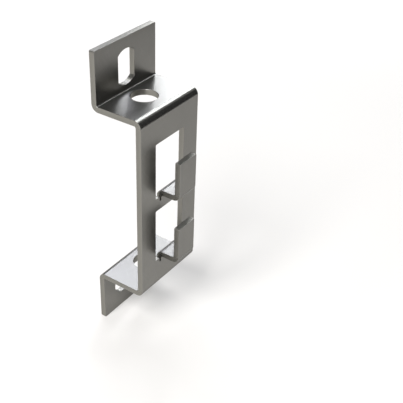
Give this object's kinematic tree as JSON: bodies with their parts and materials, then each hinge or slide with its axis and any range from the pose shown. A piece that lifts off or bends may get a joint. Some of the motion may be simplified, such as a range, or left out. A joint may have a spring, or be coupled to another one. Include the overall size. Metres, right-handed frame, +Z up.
{
  "type": "side bracket",
  "caption": "Folded sheet-steel side bracket: slotted wall flanges, shelves with rod holes, and a windowed web with upturned hooks.",
  "frame": {"origin": "on the wall plane, midway across the strip and midway up the web", "axes": "+X across the strip, to the right seen from the front; +Y into the wall; +Z up, the way the hooks open"},
  "size_m": [0.03, 0.0264, 0.1036],
  "materials": {
    "sheet_steel": "mill-finish sheet steel with sheared edges"
  },
  "bodies": {
    "root": {"side_bracket": "sheet_steel"}
  },
  "joints": []
}
